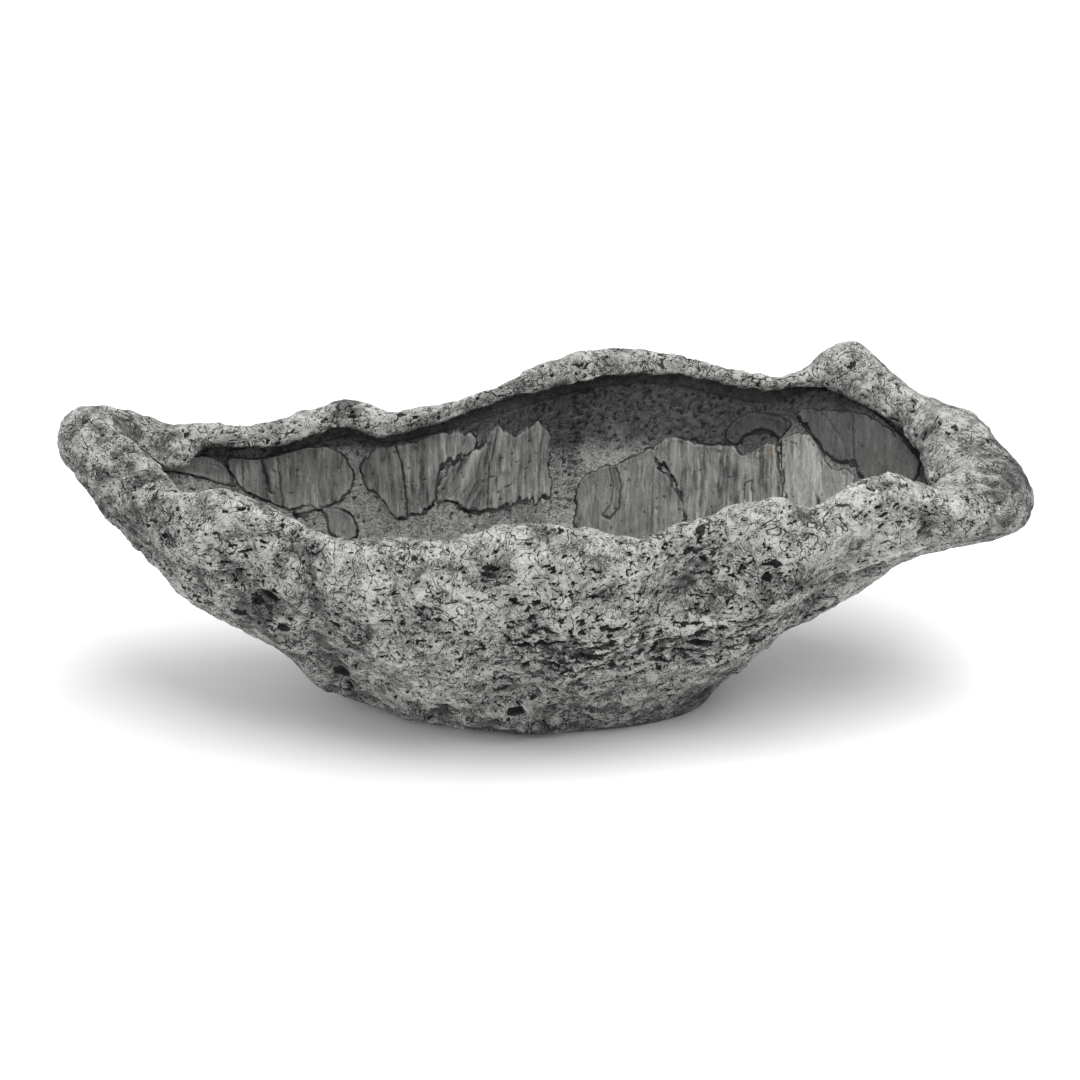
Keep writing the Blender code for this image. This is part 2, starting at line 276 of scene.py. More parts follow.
def closedGrid(name, grid, bottom, top, bands, finish, details):
    # rings closed by a point at each end; the map is cut into as many strips as bands
    rows, columns = grid.shape[:2]
    quads, r, c = gridFaces(rows, columns)
    count = rows * columns
    points = np.concatenate([grid.reshape(-1, 3), [bottom, top]])
    ring = np.arange(columns)
    after = (ring + 1) % columns
    last = count - columns
    below = np.stack([after, ring, np.full(columns, count)], -1)
    above = np.stack([last + ring, last + after, np.full(columns, count + 1)], -1)
    perBand = columns // bands
    band = c // perBand

    def mapped(column, row):
        return np.stack([(column - band * perBand) / perBand * 0.996 + 0.002,
                         (band + 0.02 + 0.96 * row / (rows - 1)) / bands], -1)
    uvQuads = np.stack([mapped(c, r), mapped(c + 1, r), mapped(c + 1, r + 1), mapped(c, r + 1)], 1)
    capBand = ring // perBand
    left = (ring - capBand * perBand) / perBand
    uvCaps = []
    for near, far in ((0.02, 0.002), (0.98, 0.998)):
        edge = (capBand + near) / bands
        tip = (capBand + far) / bands
        uvCaps.append(np.stack([np.stack([left + 1 / perBand, edge], -1), np.stack([left, edge], -1),
                                np.stack([left + 0.5 / perBand, tip], -1)], 1))
    uv = np.concatenate([uvQuads.reshape(-1, 2), uvCaps[0].reshape(-1, 2),
                         uvCaps[1][:, [1, 0, 2]].reshape(-1, 2)])
    corners = np.concatenate([quads.ravel(), below.ravel(), above.ravel()])
    sizes = np.concatenate([np.full(len(quads), 4), np.full(2 * columns, 3)])
    values = {w: np.concatenate([np.ravel(v), [0.0, 0.0]]) for w, v in details.items()}
    return addPiece(name, points, corners, sizes, uv, finish, values)


# Materials: a wire is one output of a node, and sums on it add Math nodes

class Wire:
    def __init__(self, tree, socket):
        self.tree = tree
        self.socket = socket

    def math(self, operation, a, b=0.0):
        return addNode(self.tree, "ShaderNodeMath", {"operation": operation}, {0: a, 1: b})

    def __add__(self, other):
        return self.math("ADD", self, other)

    def __sub__(self, other):
        return self.math("SUBTRACT", self, other)

    def __rsub__(self, other):
        return self.math("SUBTRACT", other, self)

    def __mul__(self, other):
        return self.math("MULTIPLY", self, other)

    __radd__ = __add__
    __rmul__ = __mul__

    def line(self, width):
        # 1 where the value passes a half, falling away over width
        return 1 - (self - 0.5).math("ABSOLUTE", self - 0.5).between(0, width)

    def between(self, low, high):
        # 0 at low, 1 at high, with soft ends
        return addNode(self.tree, "ShaderNodeMapRange", {"interpolation_type": "SMOOTHSTEP"},
                       {"Value": self, "From Min": low, "From Max": high})


def addNode(tree, kind, settings=None, sockets=None, out=0):
    node = tree.nodes.new(kind)
    for word, value in (settings or {}).items():
        setattr(node, word, value)
    for word, value in (sockets or {}).items():
        if isinstance(value, Wire):
            tree.links.new(value.socket, node.inputs[word])
        else:
            node.inputs[word].default_value = value
    return Wire(tree, node.outputs[out])


def newFinish(name, roughness):
    made = bpy.data.materials.new(name)
    made.use_nodes = True
    shader = made.node_tree.nodes["Principled BSDF"]
    shader.inputs["Roughness"].default_value = roughness
    shader.inputs["Specular IOR Level"].default_value = 0.35
    return made, made.node_tree, shader


def grey(value, warmth=0.0):
    # a grey of the cast resin, a little green, or browner with warmth
    return (value * (0.985 + warmth), value, value * (0.955 - warmth))


def started(name, plan, words):
    # a new finish, the place on the piece and the details that the words name
    made, tree, shader = newFinish(name, plan["roughness"])
    place = addNode(tree, "ShaderNodeTexCoord", {}, {}, "Object")
    marks = {w: addNode(tree, "ShaderNodeAttribute", {"attribute_name": w}, {}, "Fac") for w in words}
    return made, tree, shader, place, marks


def grains(tree, place, sizes, detail=2.0, bend=0.0):
    # one noise for each size, in millimetres
    return [addNode(tree, "ShaderNodeTexNoise", {},
                    {"Vector": place, "Scale": 1000 / size, "Detail": detail, "Roughness": 0.6,
                     "Distortion": bend}) for size in sizes]


def shaded(tree, tone, stops):
    # greys on a ramp, each at its place
    made = addNode(tree, "ShaderNodeValToRGB", {}, {"Fac": tone})
    ramp = made.socket.node.color_ramp
    while len(ramp.elements) < len(stops):
        ramp.elements.new(0.5)
    for element, (place, value) in zip(ramp.elements, stops):
        element.position = place
        element.color = (*grey(value), 1)
    return made


def stretched(tree, place, shares):
    return addNode(tree, "ShaderNodeVectorMath", {"operation": "MULTIPLY"}, {0: place, 1: shares}, 0)


def painted(tree, colour, mask, tint, blend="MIX"):
    # the tint over the colour, as much as the mask says
    return addNode(tree, "ShaderNodeMix", {"data_type": "RGBA", "blend_type": blend},
                   {"Factor": mask, "A": colour, "B": (*tint, 1)}, 2)


def wireUp(tree, shader, colour, rough, height, reach, strength):
    bump = addNode(tree, "ShaderNodeBump", {}, {"Height": height, "Distance": reach, "Strength": strength})
    for word, wire in (("Base Color", colour), ("Roughness", rough), ("Normal", bump)):
        tree.links.new(wire.socket, shader.inputs[word])


def scattered(tree, place, cell, radius, soft=0.06):
    # round spots, one in each cell of the given size in millimetres; most are much smaller than radius
    distance = addNode(tree, "ShaderNodeTexVoronoi", {}, {"Vector": place, "Scale": 1000 / cell})
    chance = addNode(tree, "ShaderNodeSeparateColor", {},
                     {"Color": Wire(tree, distance.socket.node.outputs["Color"])})
    return (radius * (chance * chance) - distance).between(0, soft)


rockPaint = {"roughness": 0.95, "dark": 0.03, "mid": 0.30, "light": 0.52, "pit": 0.010, "bump": 0.8}


def rockFinish(plan):
    made, tree, shader, place, marks = started("castRock", plan, [
        "relief", "swell", "form", "pit", "wearAndSheen", "stainAndShade", "under", "crowd", "slit"])
    tiny, fine, small, middle, broad = grains(tree, place, (0.7, 1.5, 4.0, 11, 34), 3.0)
    curl, curve, lace = grains(tree, place, (5.0, 14, 2.2), 1.6, 1.6)
    push = addNode(tree, "ShaderNodeTexNoise", {}, {"Vector": place, "Scale": 400, "Detail": 1.5}, "Color")
    bent = addNode(tree, "ShaderNodeMix", {"data_type": "VECTOR"},
                   {"Factor": 0.0035, "A": place, "B": push}, 1)
    flat = stretched(tree, bent, (1, 1, 1.6))
    drawn = addNode(tree, "ShaderNodeMapping", {}, {
        "Vector": bent, "Rotation": (0, 0.28, 0), "Scale": (0.4, 0.6, 1.9)}, 0)
    wrinkle = curl.line(0.026) * middle.between(0.34, 0.46) * (1 - marks["wearAndSheen"] * 0.4)
    # painted highlights: a light line beside each wrinkle and fold, on one side only, where a raised edge
    # would catch the light
    crestHighlight = (curl - 0.042).line(0.022) * middle.between(0.34, 0.46)
    fold = curve.line(0.016) * broad.between(0.34, 0.44)
    foldHighlight = (curve - 0.03).line(0.014) * broad.between(0.38, 0.50)
    thread = lace.line(0.04) * small.between(0.43, 0.55)
    plates = middle.between(0.47, 0.56) * 0.10 + small.between(0.50, 0.56) * 0.07
    rough = broad.between(0.50, 0.62)
    holes = scattered(tree, flat, 6.5, marks["crowd"] * 0.50 + rough * 0.10 + 0.12)
    dots = scattered(tree, flat, 2.6, marks["crowd"] * 0.52 + rough * 0.16 + 0.20, 0.1)
    cuts = scattered(tree, drawn, 3.4, marks["slit"] * 0.75) * (1 - marks["wearAndSheen"] * 0.3)
    tone = (marks["relief"] * 0.10 + marks["swell"] * 0.09 + marks["form"] * 0.10 + (tiny - 0.5) * 0.42
            + (fine - 0.5) * 0.26 + (broad - 0.5) * 0.16 + 0.668)
    # the stain mark darkens: real stains, with painted shade low on the hull and under the lip; the worn mark
    # lightens: wear, with a painted highlight on top of the near rim
    tone = tone - plates - marks["stainAndShade"] * 0.13 + marks["wearAndSheen"] * 0.05 - marks["crowd"] * 0.12
    tone = tone - wrinkle * 0.48 - fold * 0.55 - thread * 0.34 + crestHighlight * 0.13 + foldHighlight * 0.12
    colour = shaded(tree, tone, [
        (0.10, plan["dark"]), (0.34, 0.12), (0.52, plan["mid"]), (0.66, 0.38), (1.0, plan["light"])])
    pitted = (marks["pit"] + (fine - 0.5) * 0.9).between(0.35, 0.55)
    # the last tint is painted shade under the far rim's lip
    for mask, shade in ((dots * 0.85, 0.03), (holes * 0.95, plan["pit"]), (cuts * 0.9, 0.02),
                        (pitted * 0.95, plan["pit"]), (marks["under"], 0.075)):
        colour = painted(tree, colour, mask, grey(shade))
    matt = plan["roughness"] - marks["wearAndSheen"] * 0.12 - (fine - 0.5) * 0.1
    height = tiny * 0.25 + fine * 0.35 + small * 0.5 - wrinkle * 0.5 - fold * 0.6 - thread * 0.3
    height = height - plates * 1.5 - dots * 0.5 - holes * 0.8 - cuts * 0.6
    wireUp(tree, shader, colour, matt, height, 0.0011, plan["bump"])
    return made


coatPaint = {"roughness": 0.8, "dark": 0.09, "mid": 0.25, "light": 0.44, "bump": 0.8}


def coatFinish(plan):
    words = ["relief", "pit", "stainAndShade", "dash"]
    made, tree, shader, place, marks = started("stippledLining", plan, words)
    fine, small, broad = grains(tree, place, (0.8, 2.4, 30), 3.0)
    level = stretched(tree, place, (0.6, 0.6, 1.2))
    lace, = grains(tree, level, (1.4,), 2.0, 1.2)
    wide = stretched(tree, place, (0.4, 0.4, 1.7))
    dashed, = grains(tree, wide, (2.0,), 2.0, 0.5)
    thread = lace.line(0.05) * small.between(0.34, 0.50)
    dash = dashed.between(0.50, 0.42) * marks["dash"]
    tone = (marks["relief"] * 0.18 + (fine - 0.5) * 1.1 + (small - 0.5) * 0.22
            + (broad - 0.5) * 0.4 + 0.60 - thread * 0.36 - dash * 0.30)
    colour = shaded(tree, tone, [
        (0.02, 0.02), (0.32, plan["dark"]), (0.52, plan["mid"]), (0.85, plan["light"])])
    colour = painted(tree, colour, marks["pit"] * 0.75, grey(0.02))
    # the stain mark darkens: real stains and dashes, with painted shade under the lip
    colour = painted(tree, colour, marks["stainAndShade"], (0.20, 0.20, 0.205), "MULTIPLY")
    rough = plan["roughness"] + (fine - 0.5) * 0.2
    wireUp(tree, shader, colour, rough, fine - thread * 0.4 - dash * 0.8, 0.0006, plan["bump"])
    return made


pastePaint = {"roughness": 0.62, "dark": 0.045, "mid": 0.165, "light": 0.33, "bump": 0.6}


def pasteFinish(name, plan, shade):
    made, tree, shader, place, marks = started(name, plan, ["streak", "edge", "pit", "rust"])
    pulled = stretched(tree, place, (1.0, 0.25, 0.09))
    fine, small, broad = grains(tree, place, (0.8, 4.0, 22), 2.5)
    comb, strand = grains(tree, pulled, (0.9, 2.2), 2.0)
    scratch = strand.line(0.02) * small.between(0.35, 0.6)
    tone = (marks["streak"] * 0.42 + (fine - 0.5) * 0.40 + (small - 0.5) * 0.3 + (broad - 0.5) * 0.45
            + (comb - 0.5) * 0.55 + (strand - 0.5) * 0.4 - scratch * 0.3 + 0.52)
    colour = shaded(tree, tone, [
        (0.10, plan["dark"] * shade), (0.5, plan["mid"] * shade), (0.9, plan["light"] * shade)])
    # the dark outline: partly the paste's own dark edge, partly painted shadow where the stroke meets the
    # lining
    for mask, tint in ((marks["edge"], grey(0.007)), (marks["pit"], grey(0.03)),
                        (marks["rust"] * 0.75, (0.20, 0.13, 0.07))):
        colour = painted(tree, colour, mask, tint)
    rough = plan["roughness"] + (small - 0.5) * 0.3 + marks["edge"] * 0.25
    height = fine * 0.6 + comb * 0.6 - scratch * 0.5
    wireUp(tree, shader, colour, rough, height, 0.0004, plan["bump"])
    return made


# The cast rock

rockPlan = {
    "columns": 1440,
    "hullParts": 24, "rimParts": 10, "lipParts": 10, "hiddenParts": 2,
    # hollows and bumps: place, size each way, height, all in millimetres; a hollow's height is below 0
    "swells": [
        ((-120, -58, 76), (15, 16, 12), -3.4), ((70, -68, 100), (20, 16, 17), -4.2),
        ((62, -65, 57), (8, 9, 6), -1.8), ((-61, -80, 72), (9, 14, 12), -1.6),
        ((172, -48, 112), (12, 12, 9), -3.0), ((-118, -61, 103), (15, 12, 9), 2.6),
        ((-39, -84, 89), (19, 12, 12), 3.0), ((186, -37, 119), (12, 12, 12), 1.6),
        ((-30, -74, 52), (12, 12, 11), 3.0), ((-11, -54, 19), (12, 12, 12), 4.5),
        ((28, -82, 107), (18, 12, 14), 3.0), ((142, -50, 128), (16, 12, 6), 1.2),
        ((-150, -45, 88), (18, 14, 14), -2.5), ((3, -78, 92), (12, 12, 12), -3.0),
        ((-73, -78, 91), (11, 12, 12), 3.0), ((105, -60, 112), (14, 12, 9), 2.4),
        ((187, -46, 110), (9, 9, 6), -2.0), ((118, -56, 124), (8, 14, 10), -3.5),
        ((103, -60, 127), (9, 12, 8), 2.0), ((-66, -78, 114), (7, 10, 7), -3.0),
        ((-79, -76, 117), (9, 12, 8), 2.4),
    ],
    # how far the far rim's inner edge is raised, at places along the bowl
    "lipRise": [
        (-195, 0), (-185, -6), (-181, -10), (-173, -11), (-168, -8), (-162, -3), (-157, 3), (-152, 8),
        (-139, 6), (-121, 4), (-96, 2), (-84, 4), (-75, 7), (-54, 10), (-36, 9.5), (-18, 7.5), (-4, 4.4),
        (14, 2), (29, 2.4), (47, 5.5), (70, 7.7), (88, 8.6), (103, 11), (117, 10), (125, 6), (132, 0.6),
        (140, -4), (150, -7), (160, -6), (170, -3), (184, 0),
    ],
    # dark holes with sharp edges: place, size each way, depth
    "holes": [
        ((-11, -57, 24), (4.2, 6, 3.0), 5.0), ((-21, -81, 107), (5.0, 6, 1.5), 2.2),
        ((70, -65, 62), (6.5, 6, 2.4), 3.6), ((-7, -80, 68), (4.2, 6, 1.8), 2.6),
        ((0, -82, 70), (3.4, 6, 1.5), 2.2), ((28, -85, 80), (2.6, 6, 1.3), 2.0),
        ((33, -84, 79), (4.6, 6, 1.5), 2.4), ((13, -86, 79), (1.8, 6, 1.3), 1.8),
        ((6, -79, 58), (3.4, 6, 1.6), 2.2), ((22, -82, 65), (3.6, 6, 1.4), 2.0),
        ((32, -76, 56), (3.8, 6, 1.4), 2.2), ((101, -69, 104), (5.0, 6, 1.5), 2.2),
        ((99, -70, 97), (2.6, 6, 2.4), 2.2), ((72, -68, 104), (2.4, 6, 2.2), 2.2),
        ((65, -69, 109), (2.6, 6, 2.4), 2.0), ((-119, -61, 81), (5.0, 6, 3.2), 2.6),
        ((-114, -57, 64), (4.0, 6, 3.4), 2.2), ((-135, -51, 68), (4.6, 6, 2.4), 2.4),
        ((-126, -58, 75), (3.2, 6, 1.8), 2.0), ((-90, -42, 33), (4.6, 6, 5.0), 2.0),
        ((70, -66, 118), (1.8, 5, 5.0), 1.6),
        ((-176, -29, 87), (2.6, 5, 4.4), 1.8),
    ],
    # where the small pits crowd: place, size each way, how much
    "pitted": [
        ((12, -80, 68), (36, 20, 14), 0.9), ((72, -66, 98), (22, 20, 20), 0.7),
        ((-120, -58, 75), (20, 20, 16), 0.7), ((-92, -50, 42), (12, 20, 20), 0.6),
        ((-60, -80, 100), (14, 14, 10), 0.4), ((110, -56, 84), (36, 20, 8), 0.6),
        ((186, -40, 100), (20, 20, 12), 0.4), ((-110, 60, 110), (24, 20, 12), 0.5),
        ((3, -76, 121), (9, 8, 5), 0.9), ((68, -68, 112), (9, 9, 6), 0.8), ((-20, -81, 104), (12, 9, 5), 0.6),
    ],
    # darker places: place, size each way, how much
    "stains": [
        ((206, -8, 112), (30, 42, 30), 2.0), ((-196, 0, 108), (45, 60, 40), 1.6),
        ((-110, -50, 80), (50, 40, 40), 0.8), ((90, -60, 85), (50, 40, 25), 0.6),
        ((-168, 28, 100), (14, 20, 14), 1.5),
    ],
    # lines where one layer stands over the next: path, height, how quickly it falls away
    "ledges": [
        ([(-5, -53, 20), (17, -76, 50), (30, -79, 63), (56, -69, 66), (82, -68, 73), (106, -62, 79),
          (137, -45, 86), (160, -43, 94), (185, -30, 100)], 1.7, 7),
        ([(-74, -55, 41), (-60, -58, 34), (-36, -60, 28), (-25, -53, 17)], 1.0, 6),
        ([(-157, -37, 70), (-137, -57, 84), (-116, -63, 86), (-104, -64, 74), (-99, -62, 64)], 1.4, 5),
        ([(-45, -83, 99), (-31, -83, 92), (-22, -82, 85), (-17, -81, 76), (-11, -80, 73)], 1.0, 4),
        ([(10, -80, 58), (40, -78, 72), (70, -70, 80)], 0.8, 3),
        ([(-100, -62, 104), (-84, -72, 112), (-70, -76, 116)], 0.8, 3),
    ],
    # valleys and cracks: path, depth, half width, how dark the bottom is
    "valleys": [
        ([(-104, -66, 108), (-98, -70, 94), (-102, -65, 74), (-96, -55, 52), (-88, -40, 28)], 3.6, 6, 0.15),
        ([(-98, -70, 96), (-102, -65, 78), (-97, -57, 56)], 1.2, 1.2, 0.9),
        ([(-66, -77, 106), (-55, -80, 104), (-44, -81, 104)], 2.2, 1.5, 0.9),
        ([(-16, -78, 88), (2, -80, 96), (16, -79, 90)], 1.4, 4.5, 0.1),
        ([(48, -70, 118), (56, -68, 100), (66, -66, 84)], 1.2, 2.6, 0.2),
    ],
}


def raised(points, up, down=None):
    # rings moved with the far rim's inner edge, by a share of its rise for each ring
    spots, rises = np.array(rockPlan["lipRise"], float).T
    rise = np.interp(points[..., 0], spots, rises) * ease(0, 20, points[..., 1])
    lowered = 0 if down is None else np.minimum(rise, 0) * down[:, None]
    rise = blurred(np.maximum(rise, 0) * up[:, None] + lowered, 7)
    return points + rise[..., None] * np.array((0, 0.5, 0.85))


def swellAt(points, place, size, height, sharp=False):
    away = np.sqrt((((points - np.array(place)) / np.array(size)) ** 2).sum(-1))
    return height * (ease(1.0, 0.55, away) if sharp else bell(away, 0.8))


def makeRock(plan, finish):
    rings = shellRings()
    columns = plan["columns"]
    parts = ([plan["hullParts"]] * 9 + [plan["rimParts"]] * 5 + [plan["lipParts"]] * 2
             + [plan["hiddenParts"]] * 7)
    gaps = np.linalg.norm(np.diff(rings, axis=0), axis=-1).mean(1)
    knots = np.concatenate([[0], np.cumsum(gaps)])
    where = np.concatenate([knots[i] + gaps[i] * np.arange(n) / n for i, n in enumerate(parts)]
                           + [knots[-1:]])
    place = np.concatenate([i + np.arange(n) / n for i, n in enumerate(parts)] + [[len(parts)]])
    grid = smoothRound(smoothThrough(rings, knots, where), columns)
    overRim = ease(11.2, 13.6, place)
    grid = raised(grid, overRim * ease(20, 16, place), overRim * ease(17.4, 16, place))
    normal = normalsOf(grid)
    outside = grid.astype(np.float32)
    bent = drift(outside, 9, 3, 2.6)
    curled = drift(outside, 4, 7, 1.8)
    low = outside * np.array((1, 1, 1.55), np.float32)      # what is drawn on this is wider than tall

    crowd = 0.35 * ease(-0.1, 0.5, lumps(outside, 30, 11))
    for spot, size, much in plan["pitted"]:
        crowd = crowd + swellAt(outside, spot, size, much)
    rimSide = ease(8.2, 9.6, place)[:, None]                # 1 over the rolled rim
    rough = np.clip(0.6 + 0.9 * lumps(outside, 42, 12) + 0.2 * (1 - rimSide), 0.2, 1)
    detail = 0.55 * lumps(bent, 12, 21) + 0.26 * lumps(bent, 6, 22) * rough
    detail += 0.13 * lumps(curled, 3.1, 23) * rough + 0.07 * lumps(outside, 1.7, 24)
    layer = lumps(bent * np.array((1, 1, 1.3), np.float32), 10, 25)
    detail += 0.40 * ease(0.02, 0.08, layer) + 0.35 * ease(0.30, 0.35, layer)
    layer = lumps(curled, 6, 26)
    detail += 0.25 * ease(0.05, 0.12, layer) * rough
    lines = 0.8 * creases(bent, 8, 27, 0.10) * ease(-0.4, 0.2, lumps(outside, 26, 53))
    finer = 0.6 * creases(curled, 4.6, 28, 0.13) * ease(-0.1, 0.25, lumps(outside, 13, 29))
    lines = np.maximum(lines, finer)
    detail -= 0.55 * lines

    x, z = outside[..., 0], outside[..., 2]
    lower = ease(30, 48, z) * ease(88, 72, z) * ease(-30, 0, x) * ease(160, 120, x)
    lower = lower * (outside[..., 1] < 0)
    pits = ease(0.66, 0.72, lumps(drift(low, 3, 31, 1.3), 4.0, 32) + 0.20 * (crowd - 0.25) - 0.12 * rimSide)
    small = lumps(drift(low, 2, 34, 0.7), 2.4, 35) + 0.22 * lumps(outside, 16, 36) - 0.04 * rimSide
    small = ease(0.68, 0.74, small)
    tilt = np.stack([x * 0.40 + z * 0.10, outside[..., 1] * 0.5, z * 1.30 - x * 0.30], -1)
    parting = creases(tilt, 2.4, 54, 0.16) * ease(-0.1, 0.3, lumps(outside, 11, 55)) * lower
    lines = np.maximum(lines, 0.7 * parting)
    detail -= 0.45 * parting
    slits = ease(0.54, 0.60, lumps(drift(tilt, 4, 37, 0.8), 2.5, 38) - 0.3 + 0.36 * lower)
    pits = np.maximum(np.maximum(pits, 0.8 * small), slits)
    broad = 1.7 * lumps(outside, 30, 41) + 1.1 * lumps(outside, 18, 42)
    for swell in plan["swells"]:
        broad += swellAt(outside, *swell)
    holes = np.zeros_like(broad)
    for hole in plan["holes"]:
        holes = np.maximum(holes, swellAt(curled * 0.6 + outside * 0.4, *hole, sharp=True))
    for path, height, fall in plan["ledges"]:
        away, above = toLine(bent * 0.9 + outside * 0.1, path)
        above = above + 0.6 * lumps(outside, 3, 51)
        detail += height * ease(-1.0, 0.8, above) * bell(away, fall) - 0.5 * bell(away, 0.8)
    for path, depth, width, dark in plan["valleys"]:
        away, _ = toLine(bent * 0.5 + outside * 0.5, path)
        broad -= depth * bell(away, width)
        lines = np.maximum(lines, dark * bell(away, width * 0.8))

    lift = ease(0.5, 6, outside[..., 2])
    lip = 1 - ease(14.8, 15.9, place)[:, None]
    broad = 5 * np.tanh(broad / 5)
    height = (broad * lift + (detail - 0.5) * (0.25 + 0.75 * lift) - 1.6 * pits * lift - holes) * lip
    grid = grid + normal * height[..., None]
    grid[..., 2] = np.maximum(grid[..., 2], 0)
    baseGrid = [grid[0] * np.array((f, f, 0)) for f in (0.1, 0.4, 0.7, 0.9)]
    floorGrid = [grid[-1] * np.array((0.5, 0.5, 0)) + np.array((0, 0, 11)),
                 grid[-1] * np.array((0.05, 0.05, 0)) + np.array((0, 0, 11))]
    full = np.concatenate([baseGrid, grid, floorGrid])

    def padded(values):
        return np.concatenate([np.repeat(values[:1], 4, 0), values, np.repeat(values[-1:], 2, 0)])
    shown = detail * lip
    relief = shown - blurred(shown, 3)
    swell = blurred(shown, 2) - blurred(shown, 12)
    form = broad + shown * 0.5
    form = blurred(form, 4) - blurred(form, 26)
    # a painted highlight in a small spot on top of the near rim, and lighter worn patches of paint
    away = np.linalg.norm((outside - np.array((142, -50, 128))) / np.array((14, 14, 6)), axis=-1)
    wearAndSheen = 0.5 * bell(away, 1)
    wearAndSheen = wearAndSheen + 0.7 * ease(0.1, 0.6, lumps(outside, 22, 61)) * (1 - 0.3 * rimSide)
    # painted shade: darker towards the bottom of the hull, and over the rim's inner edge into the lip; the
    # listed darker places and the noisy stains are added after
    stainAndShade = ease(75, 0, outside[..., 2]) * 1.3 + ease(13.2, 14.6, place)[:, None] * 0.9
    # painted shade under the far rim's lip, weaker at the left end
    under = 0.85 * ease(14.0, 14.9, place)[:, None] * ease(-20, 10, outside[..., 1])
    under = under * (0.55 + 0.45 * ease(-110, -80, outside[..., 0]))
    for spot, size, much in plan["stains"]:
        stainAndShade = stainAndShade + swellAt(outside, spot, size, much)
    stainAndShade = stainAndShade + 0.9 * ease(0.2, 0.5, lumps(bent, 14, 62)) + 0.5 * ease(0.3, 0.5, lumps(bent, 7, 63))
    details = {"relief": padded(np.clip(relief / 0.55, -1.6, 1.6)),
               "swell": padded(np.clip(swell / 0.9, -1.6, 1.6)),
               "pit": padded(np.clip(np.maximum(pits + holes / 1.5, 0.4 * lines), 0, 1)),
               "form": padded(np.clip(form / 1.5, -1.6, 1.6)),
               "wearAndSheen": padded(wearAndSheen), "stainAndShade": padded(stainAndShade),
               "under": padded(under), "crowd": padded(np.clip(crowd, 0, 1)), "slit": padded(lower)}
    made = closedGrid("rock", full, (0, 0, 0), (0, 0, 11), 2, finish, details)
    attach(made, body)
    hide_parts("rock_shell")
    return made


# The stippled lining

coatPlan = {
    "floor": 14.4, "columns": 1152, "wallParts": 156, "floorParts": 26,
    "shares": (0.11, 0.21, 0.33, 0.46, 0.59, 0.72, 0.84, 0.94),
}


def riseAt(share):
    return np.interp(share, (0.80, 0.84, 0.88, 0.94), (0, 0.12, 0.4, 0.85))


def liningWall():
    # smooth table of the lining's face: rows from its lowest share to its highest
    inner, outer = coatRings()
    shares = np.array(coatPlan["shares"])
    where = np.linspace(shares[0], shares[-1], 250)
    table = raised(smoothRound(smoothThrough(inner, shares * 100, where * 100), 1440), riseAt(where))
    return inner, outer, table, -normalsOf(table)


def wallAt(values, around, share):
    # reads a table of the wall at a place round the rim and a share of its height
    rows, columns = values.shape[:2]
    low, high = coatPlan["shares"][0], coatPlan["shares"][-1]
    r = np.clip((share - low) / (high - low) * (rows - 1), 0, rows - 1.001)
    c = around % 1.0 * columns
    r0, c0 = np.floor(r).astype(int), np.floor(c).astype(int)
    fr, fc = (r - r0)[..., None], (c - c0)[..., None]
    c0, c1 = c0 % columns, (c0 + 1) % columns
    lower = values[r0, c0] * (1 - fc) + values[r0, c1] * fc
    upper = values[r0 + 1, c0] * (1 - fc) + values[r0 + 1, c1] * fc
    return lower * (1 - fr) + upper * fr


